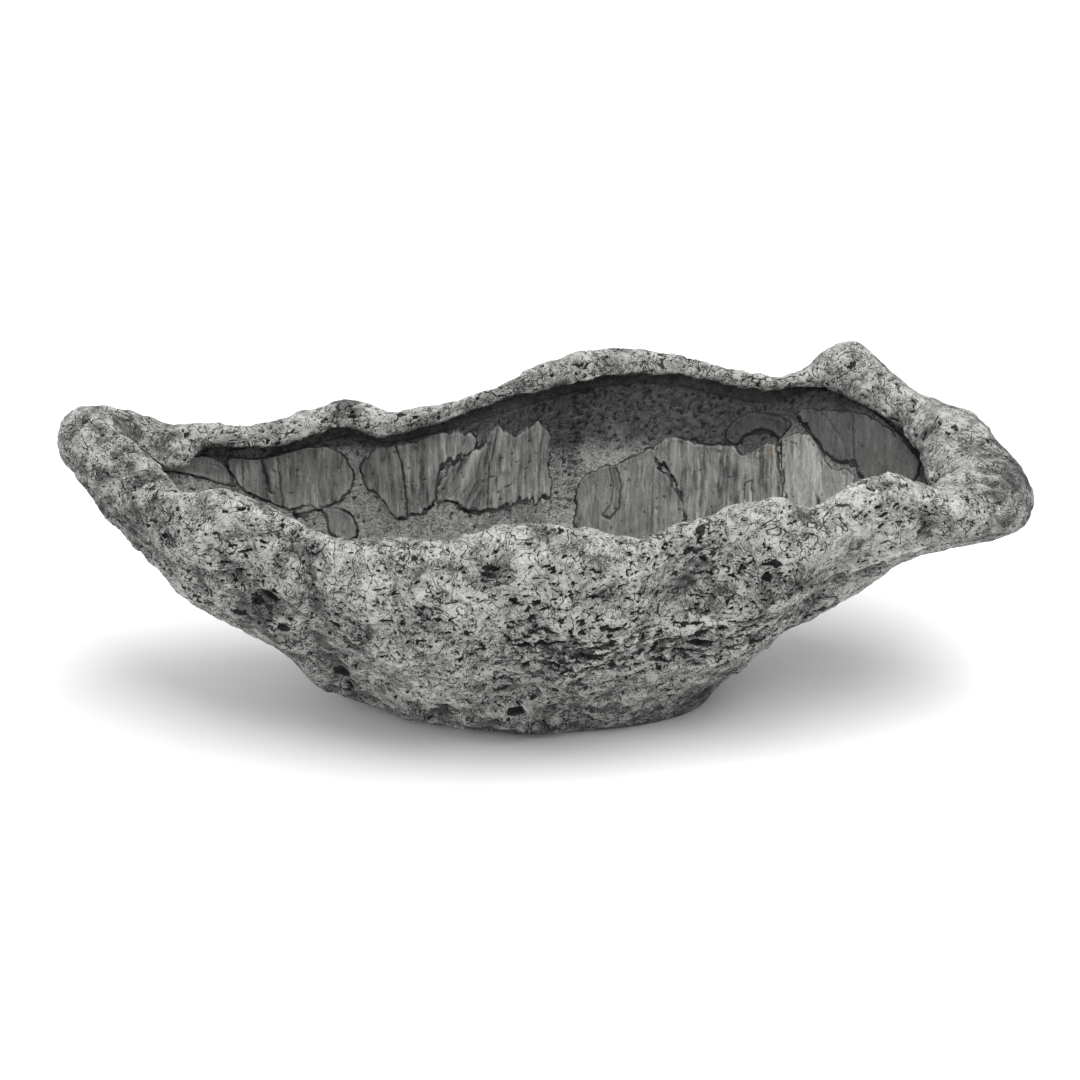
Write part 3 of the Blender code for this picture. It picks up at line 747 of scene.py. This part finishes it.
def makeCoat(plan, inner, outer, finish):
    floor = [inner[0] * np.array((f, f, 0)) + np.array((0, 0, plan["floor"])) for f in (0.5, 0.06)]
    down = np.concatenate([inner[::-1], floor])
    gaps = np.linalg.norm(np.diff(down, axis=0), axis=-1).mean(1)
    knots = np.concatenate([[0], np.cumsum(gaps)])
    fine = knots[7] * np.arange(plan["wallParts"]) / plan["wallParts"]
    coarse = knots[7] + (knots[-1] - knots[7]) * np.arange(plan["floorParts"] + 1) / plan["floorParts"]
    where = np.concatenate([fine, coarse])
    share = np.interp(where, knots[:8], plan["shares"][::-1], right=0.05)
    grid = raised(smoothRound(smoothThrough(down, knots, where), plan["columns"]), riseAt(share))
    normal = normalsOf(grid)
    face = grid.astype(np.float32)
    around = np.broadcast_to(np.arange(plan["columns"]) / plan["columns"], grid.shape[:2])
    share = np.broadcast_to(share[:, None], grid.shape[:2])

    # the ceiling is the upper wall beneath the far lip on the right, with a fainter band all round at the
    # top: its stipple is rougher, and it takes painted shade
    ceiling = ease(0.150, 0.172, around) * ease(0.262, 0.245, around)
    ceiling = ceiling * ease(0.66, 0.78, share + 0.06 * lumps(face, 9, 71))
    x = face[..., 0]
    # painted shade on the upper wall beneath the lip: over the far left side, and all round at the top
    under = ease(0.62, 0.86, share + 0.05 * lumps(face, 9, 72)) * ease(-75, 0, x)
    under = under * ease(-25, 12, face[..., 1])
    under = np.maximum(0.9 * under, 0.9 * ease(0.86, 0.93, share + 0.02 * lumps(face, 5, 81)))
    ceiling = np.maximum(ceiling, 0.5 * ease(0.80, 0.88, share + 0.02 * lumps(face, 6, 82)))
    stipple = 0.12 * lumps(face, 2.0, 73) + 0.08 * lumps(face, 1.2, 74) + 0.10 * lumps(face, 5, 75)
    stipple += ceiling * (0.30 * lumps(drift(face, 4, 76, 1.5), 2.8, 77) + 0.22 * lumps(face, 1.6, 78))
    bubbles = ease(0.72, 0.80, lumps(face, 2.2, 79) + 0.14 * ceiling)
    stipple -= 0.5 * bubbles
    dash = np.maximum(bell(around - 0.2455, 0.005), 0.55 * bell(around - 0.256, 0.008))
    dash = dash * ease(0.45, 0.55, share)
    # painted shade in the hollow below the arched stroke
    hollow = bell(around - 0.137, 0.010) * bell(share - 0.815, 0.025)
    damp = ease(0.0255, 0.02, abs(around - 0.287)) * ease(0.615, 0.60, share) * ease(0.40, 0.44, share)
    damp = damp * ease(-0.5, -0.1, lumps(face, 7, 83) + 0.3 * lumps(face, 2.5, 84))
    grid = grid + normal * (stipple * ease(0.942, 0.936, share))[..., None]
    outside = raised(smoothRound(outer[::-1], plan["columns"]), riseAt(np.array(plan["shares"])))
    bottom = [outside[0] * np.array((f, f, 0)) + np.array((0, 0, plan["floor"] - 3)) for f in (0.06, 0.5)]
    full = np.concatenate([bottom, outside, grid])

    def padded(values):
        return np.concatenate([np.zeros((10, plan["columns"])), values])
    # the damp patch and the dashes darken the paint; the rest is painted shade under the lip, on the ceiling
    # and in the hollow below the arched stroke
    stainAndShade = under + ceiling * 0.3 + damp * 0.4 + dash * 0.3 + hollow * 0.5
    details = {"relief": padded(np.clip((stipple - blurred(stipple, 4)) / 0.2, -1.5, 1.5)),
               "pit": padded(bubbles), "dash": padded(dash), "stainAndShade": padded(np.clip(stainAndShade, 0, 0.97))}
    made = closedGrid("lining", full, (0, 0, plan["floor"] - 3), (0, 0, plan["floor"]), 3, finish, details)
    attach(made, body)
    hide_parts("backing_coat")
    return made


# Strokes of paste. Outlines are (place round the rim, share of the wall's height); the points of seams
# and rust are (millimetres along the bowl, share of the wall's height). A seam also has its depth and half
# width. turn leans the streaks by so many degrees, fan spreads them, and grow widens the whole outline.

strokeStep = 0.42
strokes = {
    "leaf_smear": {
        "outline": [(.490, .85), (.461, .93), (.450, .93), (.442, .89), (.446, .84), (.461, .84),
                    (.476, .84)],
        "thick": 0.7, "turn": 75, "streak": 0.08, "ragged": 0.25,
        "seams": [([(-172, .90), (-158, .91), (-148, .89), (-140, .86)], 0.3, 0.4)],
    },
    "left_stroke": {
        "outline": [(.436, .93), (.399, .94), (.383, .90), (.379, .81), (.381, .76), (.386, .73),
                    (.394, .70), (.404, .69), (.408, .72), (.420, .72), (.423, .73), (.436, .81),
                    (.438, .82)],
        "thick": 1.1, "turn": 0, "streak": 0.26, "ragged": 0.5,
        "seams": [([(-138, .93), (-138, .84), (-138, .76)], 0.7, 0.5),
                  ([(-129, .93), (-127, .86), (-125, .80)], 1.0, 0.9),
                  ([(-122, .93), (-121, .84), (-120, .72)], 0.7, 0.5),
                  ([(-104, .93), (-106, .80)], 0.3, 0.5)],
    },
    "floor_smear": {
        "outline": [(.419, .70), (.407, .71), (.403, .68), (.403, .63), (.405, .58), (.394, .54),
                    (.390, .59), (.393, .65), (.405, .69)],
        "thick": 0.7, "turn": 20, "streak": 0.06, "ragged": 0.3, "seams": [],
    },
    "round_stroke": {
        "outline": [(.372, .75), (.371, .81), (.369, .85), (.361, .89), (.355, .91), (.340, .93),
                    (.325, .925), (.313, .905), (.309, .88), (.314, .86), (.323, .86), (.329, .83),
                    (.333, .77), (.337, .70), (.347, .65), (.356, .64), (.361, .64), (.367, .72)],
        "thick": 1.2, "turn": 2, "streak": 0.28, "ragged": 0.6,
        "seams": [([(-67, .93), (-64, .85), (-63, .76), (-62, .64)], 1.0, 0.8),
                  ([(-79, .84), (-79, .76)], 0.5, 0.5), ([(-40, .93), (-41, .86)], 0.4, 0.5),
                  ([(-57, .93), (-58, .80), (-56, .68)], 0.3, 0.7)],
    },
    "scalloped_stroke": {
        "outline": [(.302, .862), (.300, .880), (.295, .883), (.285, .855), (.276, .866), (.264, .82),
                    (.263, .67), (.261, .57), (.267, .59), (.273, .57), (.280, .60), (.291, .60),
                    (.307, .60), (.316, .64), (.327, .70), (.334, .70), (.327, .81), (.319, .835),
                    (.308, .845)],
        "thick": 1.2, "turn": 0, "fan": 0.55, "streak": 0.34, "ragged": 0.8,
        "seams": [([(-20, .90), (-24, .78), (-25, .62)], 0.7, 0.6),
                  ([(2, .86), (0, .76), (-1, .62)], 0.35, 0.6)],
    },
    "grooved_stroke": {
        "outline": [(.238, .43), (.241, .53), (.240, .58), (.235, .62), (.226, .64), (.216, .66),
                    (.205, .70), (.199, .72), (.194, .67), (.185, .64), (.178, .60), (.166, .53),
                    (.168, .45), (.190, .38), (.220, .38)],
        "thick": 1.2, "turn": -3, "streak": 0.18, "ragged": 0.6, "grow": 0.3,
        "seams": [([(33, .645), (35, .58), (33.6, .51), (30, .475)], 0.7, 0.5),
                  ([(36.5, .64), (38.6, .58), (37.4, .50), (33, .46), (30, .475)], 0.9, 0.6),
                  ([(34.8, .64), (36.8, .57), (35.5, .50)], 0.35, 1.4),
                  ([(44, .69), (43, .58), (43, .42)], 0.35, 0.5),
                  ([(54, .66), (53, .55), (53, .42)], 0.3, 0.5)],
    },
    "streaked_stroke": {
        "outline": [(.198, .72), (.193, .76), (.188, .78), (.173, .78), (.159, .80), (.149, .78),
                    (.143, .78), (.136, .80), (.125, .77), (.114, .72), (.099, .66), (.082, .61),
                    (.080, .53), (.100, .50), (.125, .48), (.143, .45), (.160, .455), (.165, .53),
                    (.178, .62), (.190, .68)],
        "thick": 1.2, "turn": -2, "streak": 0.36, "ragged": 0.6, "grow": 0.5,
        "seams": [([(97, .55), (97, .62), (100.5, .61), (100.5, .55)], 0.8, 0.5),
                  ([(111, .80), (113, .70), (115, .58)], 0.8, 0.6),
                  ([(75, .77), (77, .66), (76, .56)], 0.4, 0.6)],
        "rust": [(109, .72, 2.2)],
    },
    "cracked_stroke": {
        "outline": [(.1125, .75), (.1125, .77), (.101, .785), (.093, .78), (.082, .76), (.071, .76),
                    (.065, .785), (.055, .78), (.051, .73), (.051, .65), (.058, .59), (.069, .59),
                    (.080, .625), (.096, .67)],
        "thick": 1.1, "turn": 0, "streak": 0.16, "ragged": 0.5,
        "seams": [([(130, .68), (130, .62), (130, .53)], 1.0, 1.3), ([(143, .78), (142, .66)], 0.35, 0.6)],
    },
    "arched_stroke": {
        "outline": [(.160, .83), (.160, .865), (.156, .892), (.150, .903), (.140, .892), (.128, .856),
                    (.118, .81), (.121, .79), (.135, .845), (.146, .868), (.152, .85), (.155, .82)],
        "thick": 1.0, "turn": 40, "streak": 0.1, "ragged": 0.3, "seams": [],
    },
    "end_stroke": {
        "outline": [(.115, .85), (.104, .86), (.095, .885), (.079, .92), (.060, .93), (.046, .93),
                    (.036, .93), (.028, .90), (.028, .82), (.040, .79), (.054, .81), (.066, .82),
                    (.073, .79), (.084, .785), (.098, .80)],
        "thick": 1.3, "turn": 0, "streak": 0.12, "ragged": 0.5,
        "seams": [([(147, .90), (147, .80)], 0.6, 0.6), ([(128, .92), (133, .86), (142, .83)], 0.3, 0.7)],
    },
    "near_left_stroke": {
        "outline": [(.560, .60), (.571, .76), (.584, .85), (.612, .88), (.632, .83), (.640, .66),
                    (.633, .51), (.610, .43), (.588, .45), (.568, .52)],
        "thick": 1.1, "turn": 6, "streak": 0.28, "ragged": 0.9,
        "seams": [([(-112, .87), (-110, .66), (-108, .46)], 0.7, 0.7)],
    },
    "near_middle_stroke": {
        "outline": [(.655, .60), (.664, .77), (.682, .85), (.722, .88), (.742, .82), (.750, .63),
                    (.738, .42), (.715, .37), (.682, .39), (.664, .48)],
        "thick": 1.2, "turn": -6, "streak": 0.32, "ragged": 0.9,
        "seams": [([(-32, .86), (-30, .62), (-31, .40)], 0.7, 0.7),
                  ([(4, .86), (3, .66), (4, .42)], 0.4, 0.6)],
    },
    "near_right_stroke": {
        "outline": [(.770, .64), (.782, .78), (.804, .85), (.850, .88), (.870, .82), (.880, .66),
                    (.866, .50), (.846, .44), (.805, .42), (.784, .49)],
        "thick": 1.2, "turn": 8, "streak": 0.3, "ragged": 0.9,
        "seams": [([(92, .85), (94, .66), (92, .45)], 0.7, 0.7)],
    },
}


def insideOf(x, y, loop):
    # even or odd count of the loop's sides that lie to the right
    odd = np.zeros(x.shape, bool)
    for (ax, ay), (bx, by) in zip(loop, np.roll(loop, -1, 0)):
        if ay != by:
            crosses = (ay > y) != (by > y)
            odd ^= crosses & (x < (bx - ax) * (y - ay) / (by - ay) + ax)
    return odd


def makeStroke(name, plan, table, tableNormal, finish, seed):
    loop = np.array(plan["outline"], float)
    middle = (loop.min(0) + loop.max(0)) / 2
    near = 0.004
    spots = [wallAt(table, np.array(middle[0] + a), np.array(middle[1] + s))
             for a, s in ((-near, 0), (near, 0), (0, -near), (0, near))]
    scale = [np.linalg.norm(spots[1] - spots[0]), np.linalg.norm(spots[3] - spots[2])]
    scale = np.array(scale) / (2 * near)
    loop = smoothRound((loop * scale)[None], len(loop) * 5)[0]
    room = 2.2
    low, high = loop.min(0) - room, loop.max(0) + room
    columns, rows = (np.ceil((high - low) / strokeStep).astype(int) + 1)
    x, y = np.meshgrid(np.linspace(low[0], high[0], columns), np.linspace(low[1], high[1], rows))
    flat = np.stack([x, y], -1)
    share = np.clip(y / scale[1], coatPlan["shares"][0], coatPlan["shares"][-1] - 0.002)
    base = wallAt(table, x / scale[0], share)
    normal = wallAt(tableNormal, x / scale[0], share)
    face = base.astype(np.float32)

    inside, _ = toLine(flat, np.concatenate([loop, loop[:1]]))
    inside = np.where(insideOf(x, y, loop), inside, -inside)
    sheet = np.stack([x, y, np.full_like(x, seed * 13.7)], -1).astype(np.float32)
    wander = 1.7 * lumps(sheet, 8, seed) + 0.9 * lumps(sheet, 3.6, seed + 1)
    wander = wander + 0.4 * lumps(sheet, 1.7, seed + 2)
    inside = inside + plan["ragged"] * wander

    turn = math.radians(plan["turn"])
    over, rise = base[..., 0], base[..., 2]
    fan = plan.get("fan", 0) * (rise - 100) * ease(-10, -50, over)
    across = over * math.cos(turn) + rise * math.sin(turn) - fan + 0.5 * lumps(sheet, 12, seed + 3)
    along = (rise * math.cos(turn) - over * math.sin(turn)) / 12
    drawn = np.stack([across, along, np.full_like(x, seed * 5.1)], -1).astype(np.float32)
    streak = 0.55 * lumps(drawn, 3.6, seed + 4) + 0.45 * lumps(drawn, 1.7, seed + 5)
    streak += 0.3 * lumps(drawn * np.array((1, 2, 1), np.float32), 0.9, seed + 6)
    streak = streak * (0.6 + 0.6 * ease(-0.3, 0.4, lumps(sheet, 14, seed + 7)))
    streak -= 0.55 * creases(drawn, 2.6, seed + 12, 0.2) * ease(-0.2, 0.3, lumps(sheet, 9, seed + 13))
    steep = np.clip(np.abs(np.gradient(inside, axis=0)) / strokeStep, 0, 1)
    jagged = 1.1 * streak + 0.7 * lumps(sheet, 2.6, seed + 15)
    inside = inside + plan.get("grow", 0.9) + plan["ragged"] * steep * jagged
    falls = np.clip(np.gradient(blurPlain(inside, 2), axis=0) / strokeStep, 0, 1)
    drips = 2.2 * creases(drawn * np.array((1, 0, 1), np.float32), 5, seed + 16, 0.3)
    drips = drips - 0.9 * bell(lumps(drawn, 8, seed + 17) - 0.25, 0.2)
    inside = inside + plan["ragged"] * falls * drips
    ridge = bell(inside - 1.3, 0.7) * 0.15
    top = plan["thick"] + plan["streak"] * streak + ridge + 0.18 * lumps(sheet, 8, seed + 8)
    cut = np.zeros_like(top)
    dark = np.zeros_like(top)
    for path, depth, width in plan["seams"]:
        spot = np.stack([over, y], -1) + 0.4 * lumps(sheet, 2.5, seed + 9)[..., None]
        away, _ = toLine(spot, np.array(path) * (1, scale[1]))
        cut = np.maximum(cut, depth * bell(away, width))
        dark = np.maximum(dark, min(1.0, depth * 1.2) * bell(away, width * 0.7))
    pits = ease(0.80, 0.86, lumps(sheet, 2.4, seed + 10))
    rust = np.zeros_like(top)
    for spotX, spotShare, wide in plan.get("rust", []):
        rust = np.maximum(rust, bell(np.hypot(over - spotX, y - spotShare * scale[1]), wide))
    top = np.maximum(top - cut - 0.4 * pits, 0.3)
    slopeUp, slopeOver = np.gradient(blurPlain(inside, 2))
    slopeUp, slopeOver = slopeUp / strokeStep, slopeOver / strokeStep
    skirt = 0.45 + 1.1 * np.clip(slopeUp, 0, 1) + 0.3 * np.clip(slopeOver, 0, 1)
    skirt = skirt * (0.6 + 0.7 * ease(-0.4, 0.5, lumps(sheet, 6, seed + 11)))
    height = 0.28 + (top - 0.28) * ease(0.0, 0.6, inside)
    height = np.where(inside < -skirt, -0.4, height)
    # dark along the outline: partly the paste's own dark edge, partly painted shadow under its rim
    edge = ease(0.75, 0.25, inside) * (0.65 + 0.35 * ease(-0.3, 0.3, lumps(sheet, 7, seed + 14)))
    keep = inside > -skirt - 0.9
    kept = keep[:-1, :-1] & keep[1:, :-1] & keep[:-1, 1:] & keep[1:, 1:]
    front = base + normal * height[..., None]
    back = base - normal * 0.55
    details = {"streak": np.clip((streak * plan["streak"] / 0.3), -1.5, 1.5),
               "edge": np.clip(np.maximum(edge, dark), 0, 1), "pit": pits * 0.6 * ease(0.8, 1.2, inside),
               "rust": rust}
    made = closedSheet(name, front, back, kept, finish, details)
    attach(made, body)
    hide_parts(name)
    return made


def blurPlain(values, reach):
    total = np.zeros_like(values)
    padded = np.pad(values, reach, mode="edge")
    for r in range(2 * reach + 1):
        for c in range(2 * reach + 1):
            total += padded[r:r + values.shape[0], c:c + values.shape[1]]
    return total / (2 * reach + 1) ** 2


def closedSheet(name, front, back, kept, finish, details):
    # a sheet with a front, a back and sides, from the kept cells of a grid
    rows, columns = front.shape[:2]
    r, c = np.nonzero(kept)
    corner = r * columns + c
    right, over, up = corner + 1, corner + columns + 1, corner + columns
    count = rows * columns
    # the grid runs anticlockwise and upward, so its front, inside the bowl, goes the other way
    frontFaces = np.stack([corner, up, over, right], -1)
    backFaces = np.stack([corner, right, over, up], -1) + count
    cells = np.pad(kept, 1)
    sides = []
    edges = (((0, 1), corner, right), ((2, 1), over, up), ((1, 0), up, corner), ((1, 2), right, over))
    for (down, beside), a, b in edges:
        bare = ~cells[r + down, c + beside]
        a, b = a[bare], b[bare]
        sides.append(np.stack([a, b, b + count, a + count], -1))
    faces = np.concatenate([frontFaces, backFaces] + sides)
    used, flat = np.unique(faces.ravel(), return_inverse=True)
    points = np.concatenate([front.reshape(-1, 3), back.reshape(-1, 3)])[used]
    size = max(rows, columns)
    spread = np.stack([faces % count % columns / size, faces % count // columns / size], -1)
    behind = (faces >= count)
    uv = spread * 0.93
    whole = behind.any(1)
    uv[whole] = np.array((0.94, 0.94)) + spread[whole] * 0.055
    values = {w: np.concatenate([v.ravel(), np.zeros(count)])[used] for w, v in details.items()}
    return addPiece(name + "_paste", points, flat.ravel(), np.full(len(faces), 4),
                    uv.reshape(-1, 2), finish, values)


# Build

rock = makeRock(rockPlan, rockFinish(rockPaint))
print("rock", len(rock.data.vertices))
innerRings, outerRings, wallTable, wallNormals = liningWall()
makeCoat(coatPlan, innerRings, outerRings, coatFinish(coatPaint))
print("lining")
# the same paste in brighter and darker copies; the copy for the arched stroke is painted shade, as it lies
# high under the lip; the end stroke's copy is darker still
pasteFinishes = {
    "dark": pasteFinish("darkPaste", pastePaint, 0.33),
    "plain": pasteFinish("greyPaste", pastePaint, 1.08),
    "pale": pasteFinish("palePaste", pastePaint, 0.98),
    "inShade": pasteFinish("inShadePaste", pastePaint, 0.25),
}
tones = {"end_stroke": "dark", "arched_stroke": "inShade", "grooved_stroke": "pale", "streaked_stroke": "pale"}
for order, (strokeName, strokePlan) in enumerate(strokes.items()):
    chosen = pasteFinishes[tones.get(strokeName, "plain")]
    makeStroke(strokeName, strokePlan, wallTable, wallNormals, chosen, 200 + 20 * order)
print("strokes", len(strokes))


# Floor and light

# each light has a place, a size in metres and a power; both point at lit
studio = {
    "floor": 0.9, "floorSize": 8, "floorHeight": -0.0003, "sky": 0.70, "lit": (0, 0, 0.07),
    "key": ((0.35, -0.22, 1.5), 1.5, 31), "fill": ((-1.2, -1.0, 0.9), 1.0, 5),
}


def makeFloor(plan):
    half = plan["floorSize"] / 2
    mesh = bpy.data.meshes.new("floor")
    edges = ((-half, -half), (half, -half), (half, half), (-half, half))
    corners = [(x, y, plan["floorHeight"]) for x, y in edges]
    mesh.from_pydata(corners, [], [(0, 1, 2, 3)])
    finish, tree, shader = newFinish("paleFloor", 0.9)
    shader.inputs["Base Color"].default_value = (plan["floor"], plan["floor"], plan["floor"], 1)
    mesh.materials.append(finish)
    floor = linked("floor", mesh)


def addLight(name, place, size, power):
    light = linked(name, bpy.data.lights.new(name, "AREA"))
    light.data.size = size
    light.data.energy = power
    light.location = place
    light.rotation_mode = "QUATERNION"
    light.rotation_quaternion = (Vector(studio["lit"]) - Vector(place)).to_track_quat("-Z", "Y")


makeFloor(studio)
for lightName in ("key", "fill"):
    addLight(lightName, *studio[lightName])
world = bpy.data.worlds.new("studio")
world.use_nodes = True
world.node_tree.nodes["Background"].inputs["Color"].default_value = (1, 1, 1, 1)
world.node_tree.nodes["Background"].inputs["Strength"].default_value = studio["sky"]
bpy.context.scene.world = world
bpy.context.scene.view_settings.view_transform = "Standard"
print("floor and light")
